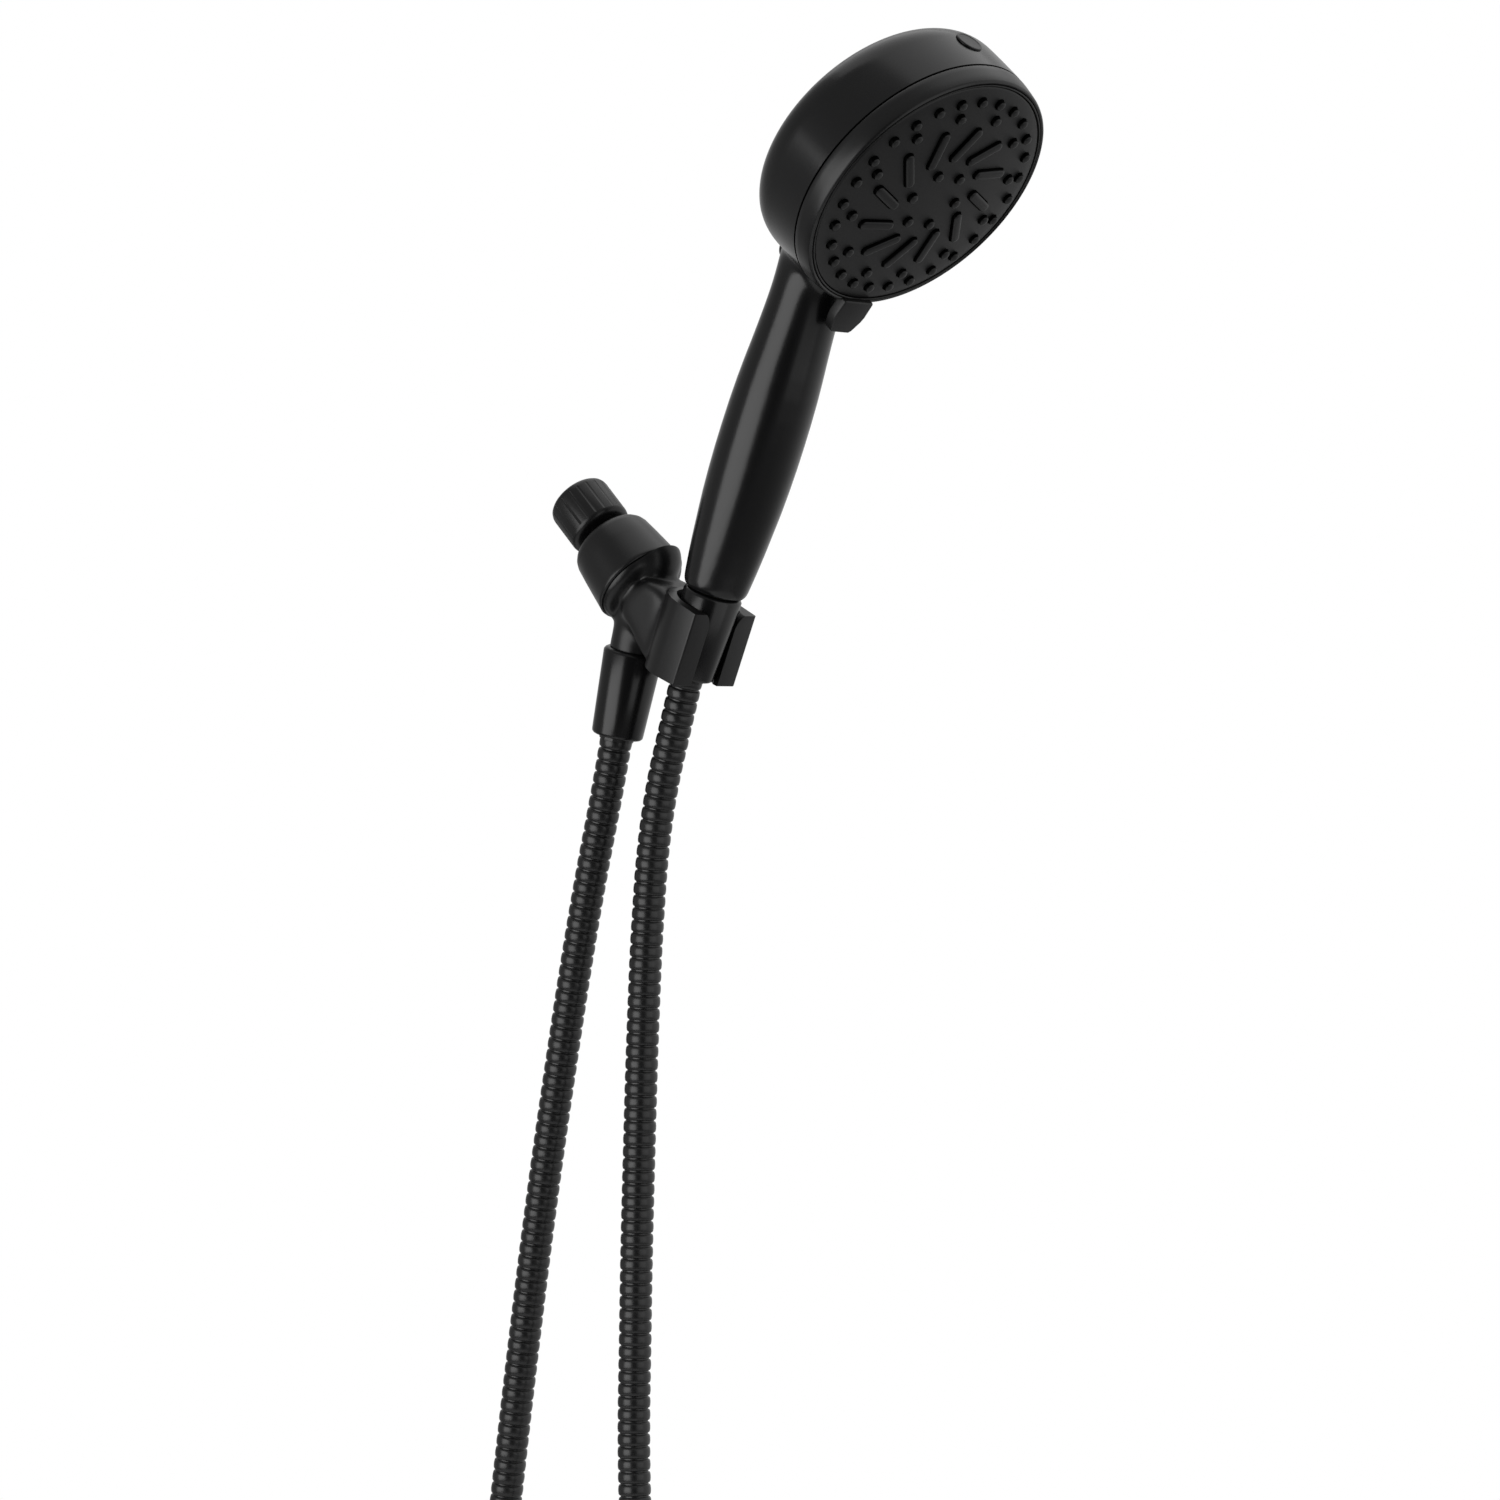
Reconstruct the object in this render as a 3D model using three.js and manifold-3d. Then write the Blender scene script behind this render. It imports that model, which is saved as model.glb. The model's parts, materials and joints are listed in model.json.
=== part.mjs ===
// Handheld shower head resting in the cradle of its shower-arm bracket, with its metal hose.
// Millimetres, +Z up, the object is symmetric about X = 0 and faces -Y. The origin is the centre
// of the inlet nut's mouth, where the shower arm screws in.
import * as THREE from "three";
import { mergeVertices } from "three/addons/utils/BufferGeometryUtils.js";
import Module from "manifold-3d";

const wasm = await Module();
wasm.setup();

// ---------------------------------------------------------------- driving dimensions
const GAP = 0.3; // clearance kept between neighbouring pieces
const ROUND = 24; // sides of an ordinary round piece

// Angles are tilts from straight up towards the front (-Y), in degrees.
const INLET_TILT = 135; // the inlet axis, running down and forward into the bracket
const CRADLE_TILT = 23; // the cradle and the handset's handle
const OUTLET_TILT = 195; // the hose outlet, running down and a little back
const FACE_TILT = 133; // the spray face's outward normal

// Places in the plane of symmetry, as [forward, up] from the origin.
const HANDLE_FOOT = [77.9, -41.2]; // where the handle meets its nut
const OUTLET_TOP = [32.7, -65.1]; // top of the outlet nut
const FACE_CENTRE = [193.5, 117]; // rim plane of the spray face

const INLET_NUT = { length: 21.5, radius: 13.6, flutes: 20, bore: 10.3 };
const BALL = { at: 39, radius: 14, neck: 7, bore: 5.5, tilt: 12 };
const COLLAR = { start: 25.5, end: 52.7, front: 17.8, back: 20.3, bore: 16.3 };
const SOCKET = { radius: 19.6, end: 61.5 };
const CONE_NUT = { length: 37.5, top: 12.7, bottom: 11, bore: 10.2, hose_bore: 7.7 };
const CRADLE = {
  top: -5.8, bottom: -38.7, half_width: 19.3, back: 18, front: 10.5, corner: 1.2, slot: 16.6, wall_gap: 0.35,
};
const OUTLET_BOSS = 10.6;
const HOSE = { radius: 7, sides: 10, steps: 48 };

const FACE = { radius: 54.6, crown: 4, back: -2.2, nub: 1.35, nub_height: 1.7, slot: [17, 3.4] };
const RING = { inner: 54.9, outer: 57.3, back: -3.2, skirt_inner: 54.1, skirt_outer: 55.5, skirt_back: -8.4 };
const BEZEL = { inner: 55.9, outer: 58.3, front: -3.6, back: -9.8 };
const HEAD = { radius: 58.4, front: -10.1, depth: 46.5, wall: 2.6, straight: 19.7, fullness: 0.3, sag: 1.9 };
const TAB = { foot: 18, tip: 14, length: 14, back: -2.4, thick: 5 };
const HANDLE_BORE = 9.6;

// The handle's outline: [distance up from its foot, radius].
const HANDLE_OUTLINE = [
  [0, 13.6], [3, 13.9], [12, 14.9], [31, 16.5], [50, 17.6], [70, 17.9],
  [90, 17.5], [108, 16.4], [124, 15.7], [136, 15.2], [150, 15.6], [164, 13.5],
];

// The hose's free route from the outlet ferrule, down round a hanging loop and up to the handset,
// as [forward, up]: 1.44 m of hose.
const HOSE_ROUTE = [
  [22.5, -103.2], [16.8, -127], [7.7, -162.6], [-0.2, -196.8], [-10.9, -248.5], [-20.6, -299],
  [-30, -353.6], [-41, -423.4], [-49, -478], [-57, -536], [-64, -596], [-66, -648], [-61, -692],
  [-46, -728], [-23, -749], [4, -750], [27, -731], [41, -697], [46, -652], [45, -596], [41, -536],
  [37, -478], [33, -417], [33.6, -349], [35.6, -280.4], [38.5, -212.7], [40.7, -178.9],
  [44.4, -145.1], [49.6, -120], [55, -102], [62.2, -78.2],
];

// ---------------------------------------------------------------- materials
const finish = (color, roughness, metalness = 0) => ({ color, roughness, metalness });
const FINISHES = {
  black: finish(0x17181a, 0.38),
  black_soft: finish(0x131416, 0.55),
  hose_metal: finish(0x1d1e20, 0.35, 0.8),
  rubber: finish(0x101010, 0.7),
  brass: finish(0xb08d57, 0.35, 1),
  steel: finish(0xb5b8ba, 0.3, 1),
  white: finish(0xd9d9d4, 0.5),
};

// ---------------------------------------------------------------- helpers
const rad = THREE.MathUtils.degToRad;
const at = ([forward, up]) => new THREE.Vector3(0, -forward, up);

// The direction of a tilt, and a matrix that stands a local +Z piece along it at a place.
const direction = (tilt) => new THREE.Vector3(0, -Math.sin(rad(tilt)), Math.cos(rad(tilt)));
const stand = (place, tilt) =>
  new THREE.Matrix4().makeRotationX(rad(tilt)).setPosition(at(place));

const INLET = stand([0, 0], INLET_TILT);
const HANDSET = stand(HANDLE_FOOT, CRADLE_TILT);
const OUTLET = stand(OUTLET_TOP, OUTLET_TILT);
const HEADFRAME = stand(FACE_CENTRE, FACE_TILT);

// The elbow that carries water from the handle's tube up into the head's chamber.
const ELBOW = { radius: 8, handle_end: 143, chamber_end: [-30, -21] };
const ELBOW_FROM = new THREE.Vector3(0, 0, ELBOW.handle_end).applyMatrix4(HANDSET);
const ELBOW_RUN = new THREE.Vector3(0, ...ELBOW.chamber_end).applyMatrix4(HEADFRAME).sub(ELBOW_FROM);
const ELBOW_FRAME = new THREE.Matrix4().compose(
  ELBOW_FROM,
  new THREE.Quaternion().setFromUnitVectors(new THREE.Vector3(0, 0, 1), ELBOW_RUN.clone().normalize()),
  new THREE.Vector3(1, 1, 1));

// The pause button sits in the back of the neck.
const BUTTON_HEIGHT = 147;
const BUTTON = { radius: 6.1, surface: 16.6, proud: 1.7 };
const BUTTONFRAME = HANDSET.clone().multiply(
  new THREE.Matrix4().makeRotationX(-Math.PI / 2).setPosition(0, 0, BUTTON_HEIGHT));

// A plain round badge is let into the top of the head.
const BADGE = { radius: 5.8, thick: 0.8, recess: 0.5, lift: 0.3, height: 58.1, lean: 2.4 };
const BADGEFRAME = HEADFRAME.clone().multiply(
  new THREE.Matrix4().makeRotationX(rad(-90 - BADGE.lean)).setPosition(0, BADGE.height, -25));

const root = new THREE.Group();
const frames = {};
for (const [name, matrix] of Object.entries({
  INLET, HANDSET, OUTLET, HEADFRAME, BUTTONFRAME, BADGEFRAME,
})) {
  const group = new THREE.Group();
  matrix.decompose(group.position, group.quaternion, group.scale);
  root.add(group);
  frames[name] = group;
}

// A round piece about Z from [radius, height] points that run up the outside.
function turned(points, sides = ROUND) {
  const profile = points.map(([r, z]) => new THREE.Vector2(r, z));
  return new THREE.LatheGeometry(profile, sides).rotateX(Math.PI / 2);
}

// A ring about Z with four corners.
const ring = (inner, outer, low, high, sides = ROUND) =>
  turned([[inner, low], [outer, low], [outer, high], [inner, high], [inner, low]], sides);

const disc = (radius, low, high, sides = ROUND) =>
  turned([[0, low], [radius, low], [radius, high], [0, high]], sides);

// A flat outline pushed along Z from low to high.
function plate(points, low, high) {
  const shape = new THREE.Shape(points.map(([x, y]) => new THREE.Vector2(x, y)));
  return new THREE.ExtrudeGeometry(shape, { depth: high - low, bevelEnabled: false }).translate(0, 0, low);
}

// A side outline in [forward, up], given a width along X.
function sideways(points, width) {
  const geometry = plate(points, -width / 2, width / 2);
  const axes = new THREE.Matrix4().makeBasis(
    new THREE.Vector3(0, -1, 0), new THREE.Vector3(0, 0, 1), new THREE.Vector3(-1, 0, 0));
  return geometry.applyMatrix4(axes);
}

// A mesh geometry as a manifold-3d solid, and back.
function solid(geometry, matrix) {
  const g = geometry.clone();
  if (matrix) g.applyMatrix4(matrix);
  g.deleteAttribute("normal");
  g.deleteAttribute("uv");
  const merged = mergeVertices(g, 1e-3);
  return new wasm.Manifold(new wasm.Mesh({
    numProp: 3,
    vertProperties: merged.attributes.position.array,
    triVerts: new Uint32Array(merged.index.array),
  }));
}

function surface(made) {
  const mesh = made.getMesh();
  const g = new THREE.BufferGeometry();
  g.setAttribute("position", new THREE.BufferAttribute(mesh.vertProperties, 3));
  g.setIndex(new THREE.BufferAttribute(mesh.triVerts, 1));
  g.computeVertexNormals();
  return g;
}

const join = (...solids) => solids.reduce((sum, s) => sum.add(s));
const cut = (body, ...tools) => tools.reduce((left, s) => left.subtract(s), body);

function add(name, geometry, look, parent = root) {
  const mesh = new THREE.Mesh(geometry, new THREE.MeshStandardMaterial(FINISHES[look]));
  mesh.name = name;
  parent.add(mesh);
}

// ---------------------------------------------------------------- shower-arm inlet
function inletNut() {
  const outline = [];
  const points_per_flute = 4;
  const count = INLET_NUT.flutes * points_per_flute;
  for (let i = 0; i < count; i++) {
    const angle = (i / count) * 2 * Math.PI;
    const r = INLET_NUT.radius - (i % points_per_flute === 0 ? 0.9 : i % 2 ? 0.25 : 0);
    outline.push([r * Math.cos(angle), r * Math.sin(angle)]);
  }
  const body = solid(plate(outline, 0, INLET_NUT.length));
  const chamfer = solid(turned([
    [0, -1], [12.4, -1], [12.4, 0], [14, 1.4], [14, 19.6], [11.9, 21.5], [11.9, 22], [0, 22],
  ]));
  const bore = solid(disc(INLET_NUT.bore, -1, 16.4));
  const neck_hole = solid(disc(BALL.neck + GAP, 10, 30));
  return surface(cut(body.intersect(chamfer), bore, neck_hole));
}

function ballStub() {
  const { at: centre, radius, neck, bore } = BALL;
  const points = [[bore, 12.4], [9.7, 12.4], [9.7, 16.1], [neck, 16.1]];
  const start = Math.asin(neck / radius);
  for (let i = 0; i <= 7; i++) {
    const a = start + ((Math.PI - start - 0.42) * i) / 7;
    points.push([radius * Math.sin(a), centre - radius * Math.cos(a)]);
  }
  points.push([bore, points[points.length - 1][1]], [bore, 12.4]);
  return turned(points);
}

function inletPieces() {
  const group = frames.INLET;
  add("inlet_nut", inletNut(), "black", group);
  add("ball_stub", ballStub(), "steel", group);
  add("inlet_washer", ring(6.2, 9.7, 9.6, 12.1), "rubber", group);
  add("filter_screen", ring(0.8, 5.8, 9.9, 11.1, 24), "steel", group);
  add("flow_restrictor", ring(1.2, BALL.bore - GAP, 13, 17, 24), "white", group);
  const seat = [[13.1, -6.6], [16, -6.6], [16, -1.4], [14.45, -1.4], [13.1, -6.6]];
  const front = turned(seat.map(([r, z]) => [r, z + BALL.at]));
  const rear = turned(seat.map(([r, z]) => [r, BALL.at - z]).reverse());
  add("front_seat_ring", front, "white", group);
  add("rear_seat_seal", rear, "rubber", group);
}

function collarNut() {
  const { start, end, front, back, bore } = COLLAR;
  return turned([
    [10.9, start + 0.8], [11.8, start], [front - 1.2, start], [front, start + 1.2],
    [back, end - 1], [back - 0.8, end], [bore, end], [bore, 32.1], [12.4, 31.4], [10.9, start + 0.8],
  ], 32);
}

// ---------------------------------------------------------------- bracket
// The cradle: a block with a round back and two arms, whose inner corners are rounded at the top.
function cradleBlock() {
  const { half_width, back, front, corner, slot, top, bottom } = CRADLE;
  const outline = [];
  for (let i = 0; i <= 16; i++) {
    const a = (Math.PI * i) / 16;
    outline.push([half_width * Math.cos(a), back * Math.sin(a)]);
  }
  outline.push(
    [-half_width, corner - front], [corner - half_width, -front],
    [half_width - corner, -front], [half_width, corner - front]);
  const block = solid(plate(outline, bottom, top));
  const inner = slot / 2;
  const round = [
    [inner - 1, 1], [inner + 8, 1], [inner + 8, 0], [inner + 4, -1.1], [inner + 1.1, -4], [inner, -8], [inner - 1, -8],
  ];
  const along = new THREE.Matrix4().makeRotationX(Math.PI / 2).setPosition(0, 0, top);
  const right = solid(plate(round, 7, 20), along);
  return cut(block, right, right.mirror([1, 0, 0]));
}

const coneRadius = (s) =>
  CONE_NUT.top + ((CONE_NUT.bottom - CONE_NUT.top) * (-s)) / CONE_NUT.length;

function bracketBody() {
  const socket = solid(turned([
    [0, 46.2], [16, 46.2], [16, 53], [SOCKET.radius, 53], [19.2, 55],
    [17.3, 58], [13, 60.3], [7, 61.2], [0, SOCKET.end],
  ], 32), INLET);
  const boss = solid(disc(OUTLET_BOSS, -30, -GAP), OUTLET);
  const thread = solid(disc(9.9, -1, 10), OUTLET);
  const bridge = solid(sideways([
    [50, -37], [61, -42], [57, -60], [51, -73], [46, -66], [42, -58], [33, -50], [33, -40],
  ], 27));
  const cradle = solid(new THREE.BufferGeometry().copy(surface(cradleBlock())), HANDSET);
  const cone_top = coneRadius(CRADLE.top) + CRADLE.wall_gap;
  const cone_low = coneRadius(CRADLE.bottom) + CRADLE.wall_gap;
  const seat = solid(turned([
    [0, CRADLE.bottom - 8], [cone_low, CRADLE.bottom - 8], [cone_low, CRADLE.bottom],
    [cone_top, CRADLE.top], [cone_top + 1, CRADLE.top + 1], [cone_top + 1, 4], [0, 4],
  ]), HANDSET);
  const slot = solid(plate([
    [-CRADLE.slot / 2, -30], [CRADLE.slot / 2, -30], [CRADLE.slot / 2, 0], [-CRADLE.slot / 2, 0],
  ], CRADLE.bottom - 5, 5), HANDSET);
  const cup = [];
  for (let i = 0; i <= 8; i++) {
    const a = (Math.PI / 2) * (i / 8);
    cup.push([14.6 * Math.cos(a), BALL.at + 14.6 * Math.sin(a)]);
  }
  const ball_room = solid(turned([[0, BALL.at], ...cup]), INLET);
  const waterway = solid(disc(4.5, -33, 20, 20), OUTLET);
  const collar_room = solid(ring(16, 30, 30, 52.99, 32), INLET);
  const nut_room = solid(disc(CONE_NUT.top + 0.6, -GAP, 30), OUTLET);
  const body = join(cut(join(boss, bridge, cradle), collar_room, nut_room), socket, thread);
  return surface(cut(body, seat, slot, ball_room, waterway));
}

// The conical nut: 0 at its thread end, running along -Z to its narrow end.
function coneNut() {
  const { length, top, bottom, bore, hose_bore } = CONE_NUT;
  return turned([
    [hose_bore, -length], [bottom - 0.8, -length], [bottom, 0.8 - length], [top, -1.2], [top - 0.8, -GAP],
    [bore, -GAP], [bore, -15], [hose_bore, -17], [hose_bore, -length],
  ]);
}

// The hose's end fitting: a flange held by the nut, and a barrel that the hose is crimped on.
function ferrule() {
  const { length, bore, hose_bore } = CONE_NUT;
  return turned([
    [4, -length - 1.6], [hose_bore - GAP, -length - 1.6], [hose_bore - GAP, -16.4],
    [bore - 0.4, -14.2], [bore - 0.4, -13], [4, -13], [4, -length - 1.6],
  ], 24);
}

const hoseWasher = () => ring(4.6, 9.7, -12.7, -10.7, 24);

function outletPieces() {
  const group = new THREE.Group();
  group.rotation.x = Math.PI;
  frames.OUTLET.add(group);
  add("outlet_cone_nut", coneNut(), "black", group);
  add("outlet_ferrule", ferrule(), "hose_metal", group);
  add("outlet_washer", hoseWasher(), "rubber", group);
}

// ---------------------------------------------------------------- hose
function hose() {
  const route = new THREE.CatmullRomCurve3(HOSE_ROUTE.map(at));
  const section = new THREE.Shape();
  for (let i = 0; i < HOSE.sides; i++) {
    const a = (2 * Math.PI * i) / HOSE.sides;
    const place = [HOSE.radius * Math.cos(a), HOSE.radius * Math.sin(a)];
    if (i) section.lineTo(...place);
    else section.moveTo(...place);
  }
  return new THREE.ExtrudeGeometry(section, { steps: HOSE.steps, extrudePath: route });
}

// ---------------------------------------------------------------- handset
// Outline of the head's back, from its front edge to its pole, moved in by inset.
// It is a little fuller than half an ellipse.
function domeOutline(inset, steps) {
  const points = [];
  const shoulder = HEAD.front - HEAD.straight;
  const depth = HEAD.depth - inset;
  const radius = HEAD.radius - inset;
  for (let i = 0; i < steps; i++) {
    const a = (Math.PI / 2) * (i / steps);
    points.push([radius * Math.cos(a) ** HEAD.fullness, shoulder - (depth + shoulder) * Math.sin(a)]);
  }
  return [...points, [0, -depth]];
}

// Lets the head's back sag towards the handle, more the further back it is.
function sagged(geometry) {
  const place = geometry.attributes.position;
  for (let i = 0; i < place.count; i++) {
    const share = Math.max(0, (HEAD.front - place.getZ(i)) / (HEAD.depth + HEAD.front));
    place.setY(i, place.getY(i) - HEAD.sag * share * share);
  }
  return geometry;
}

function handleSolid(outline, low, high, sides = ROUND) {
  const curve = new THREE.SplineCurve(outline.map(([s, r]) => new THREE.Vector2(r, s)));
  const side = curve.getPoints(11).map((p) => [p.x, p.y]);
  return solid(turned([[0, low], ...side, [0, high]], sides), HANDSET);
}

function bodyShell() {
  const dome = (inset, front, steps, sides) => solid(sagged(turned(
    [[0, front], [HEAD.radius - inset, front], ...domeOutline(inset, steps)].reverse(), sides)), HEADFRAME);
  const handle = handleSolid(HANDLE_OUTLINE, 0, 164, 24);
  const outer = join(dome(0, HEAD.front, 9, 36), handle);
  const front_room = solid(disc(HEAD.radius + 0.4, HEAD.front, 40, 36), HEADFRAME);
  const handle_bore = solid(disc(HANDLE_BORE, -5, 150, 20), HANDSET);
  const inside = dome(HEAD.wall, HEAD.front + 5, 6, 24);
  const elbow_room = solid(disc(ELBOW.radius + 0.8, -5, ELBOW_RUN.length(), 16), ELBOW_FRAME);
  const button_hole = solid(disc(6.4, 5, 30, 20), BUTTONFRAME);
  const badge_recess = solid(disc(BADGE.radius + 0.3, -BADGE.recess, 5, 20), BADGEFRAME);
  return surface(cut(outer, front_room, inside, handle_bore, elbow_room, button_hole, badge_recess));
}

function pauseButton() {
  const { radius, surface: skin, proud } = BUTTON;
  return turned([
    [0, skin - 6], [3, skin - 6], [3, skin - 3.4], [radius, skin - 3.4], [radius, skin],
    [radius * 0.7, skin + proud * 0.7], [radius * 0.35, skin + proud * 0.95], [0, skin + proud],
  ], 24);
}

function badge() {
  const { radius, thick, recess, lift } = BADGE;
  const low = lift - recess;
  return turned([[0, low], [radius, low], [radius, low + thick - 0.3], [radius - 0.3, low + thick], [0, low + thick]]);
}

function handlePieces() {
  const group = frames.HANDSET;
  add("handset_cone_nut", coneNut(), "black", group);
  add("handset_ferrule", ferrule(), "hose_metal", group);
  add("handset_washer", hoseWasher(), "rubber", group);
  add("handset_nipple", turned([
    [5.6, -10.3], [9.8, -10.3], [9.8, -2], [9.3, -0.4], [9.3, 14], [5.6, 14], [5.6, -10.3],
  ], 24), "brass", group);
  add("handset_restrictor", ring(1.4, 5.3, -8, -4, 24), "white", group);
  add("tube_seal", ring(6.6, 8.6, 14.4, 17.4, 24), "rubber", group);
  add("water_tube", ring(4.6, 6.2, 14.4, 118, 24), "white", group);
}

// ---------------------------------------------------------------- spray face
const crownAt = (r) => FACE.crown * (1 - (r / FACE.radius) ** 2);

// Angles in the face run clockwise from the top, seen from the front.
const onFace = (share, degrees) => {
  const r = share * 57;
  const a = rad(degrees);
  return [r * Math.sin(a), r * Math.cos(a)];
};

// Rings of spray nubs: [count, distance from centre as a share of the face, first angle].
const NUB_RINGS = [[6, 0.235, 30], [12, 0.715, 11], [27, 0.835, 6]];
const NUB_SIDES = 6;
const SLOTS = { count: 12, share: 0.485, first: -4, turn: 27 };

// Calls make(x, y, turn) at each nub, and at each slot.
function atNubs(make) {
  const made = [];
  for (const [count, share, first] of NUB_RINGS)
    for (let i = 0; i < count; i++) made.push(make(...onFace(share, first + (360 * i) / count)));
  return made;
}

function atSlots(make) {
  const made = [];
  for (let i = 0; i < SLOTS.count; i++) {
    const angle = SLOTS.first + (360 * i) / SLOTS.count;
    made.push(make(...onFace(SLOTS.share, angle), -rad(angle + SLOTS.turn)));
  }
  return made;
}

// A rod with round ends in plan, standing on Z.
function slotRod(x, y, turn, length, width, low, high) {
  const outline = [];
  const straight = (length - width) / 2;
  for (let i = 0; i < 8; i++) {
    const a = (Math.PI * (i + 0.5)) / 4;
    const end = Math.sin(a) > 0 ? straight : -straight;
    outline.push([(width / 2) * Math.cos(a), end + (width / 2) * Math.sin(a)]);
  }
  const place = new THREE.Matrix4().makeRotationZ(turn).setPosition(x, y, 0);
  return solid(plate(outline, low, high), place);
}

const faceHole = (x, y) => solid(disc(FACE.nub + GAP + 0.05, -20, 20, NUB_SIDES).translate(x, y, 0));

function faceplate() {
  const points = [[0, FACE.back], [FACE.radius, FACE.back]];
  for (let i = 0; i <= 4; i++) {
    const r = FACE.radius * (1 - i / 4);
    points.push([r, crownAt(r) - (i ? 0 : 0.2)]);
  }
  const holes = atNubs(faceHole);
  const [length, width] = FACE.slot;
  holes.push(...atSlots((x, y, turn) => slotRod(x, y, turn, length + 0.7, width + 0.7, -20, 20)));
  return surface(cut(solid(turned(points, 36)), wasm.Manifold.union(holes)));
}

function nozzleMat() {
  const base = solid(disc(53.4, -4.4, FACE.back - GAP, 32));
  const nubs = atNubs((x, y) => {
    const top = crownAt(Math.hypot(x, y)) + FACE.nub_height;
    const r = FACE.nub;
    return solid(turned([[0, -4], [r, -4], [r, top - 0.6], [r - 0.4, top], [0, top]], NUB_SIDES).translate(x, y, 0));
  });
  const [length, width] = FACE.slot;
  nubs.push(...atSlots((x, y, turn) => {
    const top = crownAt(Math.hypot(x, y)) + 0.5;
    return slotRod(x, y, turn, length, width, -4, top);
  }));
  return surface(base.add(wasm.Manifold.union(nubs)));
}

// A disc with a ring of water holes.
function drilledDisc(radius, low, high, count, circle, hole) {
  const holes = [];
  for (let i = 0; i < count; i++) {
    const a = (2 * Math.PI * i) / count;
    holes.push(solid(disc(hole, low - 1, high + 1, 10).translate(circle * Math.cos(a), circle * Math.sin(a), 0)));
  }
  return surface(cut(solid(disc(radius, low, high, 32)), wasm.Manifold.union(holes)));
}

function selectorRing() {
  const { inner, outer, back, skirt_inner, skirt_outer, skirt_back } = RING;
  const band = solid(turned([
    [skirt_inner, skirt_back], [skirt_outer, skirt_back], [skirt_outer, back], [outer, back],
    [outer - 0.4, -0.4], [outer - 1.3, 0.3], [inner, 0.1], [inner, FACE.back - 0.6],
    [skirt_inner, FACE.back - 1.4], [skirt_inner, skirt_back],
  ], 36));
  const low = -(outer + TAB.length - 2);
  const tab = solid(plate([
    [-TAB.foot / 2, -outer + 2.6], [-TAB.foot / 2, -outer - 3], [-TAB.tip / 2, low + 2],
    [2 - TAB.tip / 2, low], [TAB.tip / 2 - 2, low], [TAB.tip / 2, low + 2],
    [TAB.foot / 2, -outer - 3], [TAB.foot / 2, -outer + 2.6],
  ], TAB.back, TAB.back + TAB.thick));
  const ring_room = solid(disc(skirt_outer - 0.2, -30, 30, 36));
  return surface(band.add(cut(tab, ring_room)));
}

// The water chamber behind the selector disc, with the elbow that the water tube enters.
function manifold() {
  const chamber = solid(turned([
    [0, -30], [24, -30], [44, -22], [50, -17], [50, -12.6], [0, -12.6],
  ]), HEADFRAME);
  const socket = solid(disc(ELBOW.radius, 112, ELBOW.handle_end, 24), HANDSET);
  const elbow = solid(disc(ELBOW.radius, -5, ELBOW_RUN.length(), 24), ELBOW_FRAME);
  const tube_room = solid(disc(6.5, 100, 118.4, 24), HANDSET);
  const waterway = solid(disc(4.6, 110, ELBOW.handle_end - 1, 20), HANDSET);
  const elbow_way = solid(disc(4.2, 0, ELBOW_RUN.length() - 4, 20), ELBOW_FRAME);
  const chamber_way = solid(disc(18, -28, 0, 24), HEADFRAME);
  return surface(cut(join(chamber, socket, elbow), tube_room, waterway, elbow_way, chamber_way));
}

function facePieces() {
  const group = frames.HEADFRAME;
  add("faceplate", faceplate(), "black_soft", group);
  add("nozzle_mat", nozzleMat(), "rubber", group);
  add("spray_plate", drilledDisc(53.4, -7.5, -4.7, 12, 40, 2.4), "white", group);
  add("selector_disc", drilledDisc(53.4, -11, -8.8, 3, 30, 5), "white", group);
  add("selector_ring", selectorRing(), "black_soft", group);
  add("chamber_seal", ring(46.2, 49.4, -12.3, -11.3, 32), "rubber", group);
  const { inner, outer, front, back } = BEZEL;
  add("face_bezel", turned([
    [inner, back], [outer, back], [outer, back + 1.5], [outer - 0.9, front], [inner, front], [inner, back],
  ], 36), "black", group);
}

inletPieces();
add("collar_nut", collarNut(), "black", frames.INLET);
add("bracket_body", bracketBody(), "black");
outletPieces();
add("hose", hose(), "hose_metal");
handlePieces();
add("body_shell", bodyShell(), "black");
add("pause_button", pauseButton(), "black_soft", frames.BUTTONFRAME);
add("shell_badge", badge(), "black_soft", frames.BADGEFRAME);
add("head_manifold", manifold(), "white");
facePieces();

export default root;
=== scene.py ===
import json
import math

import bpy
from mathutils import Matrix, Vector


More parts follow.
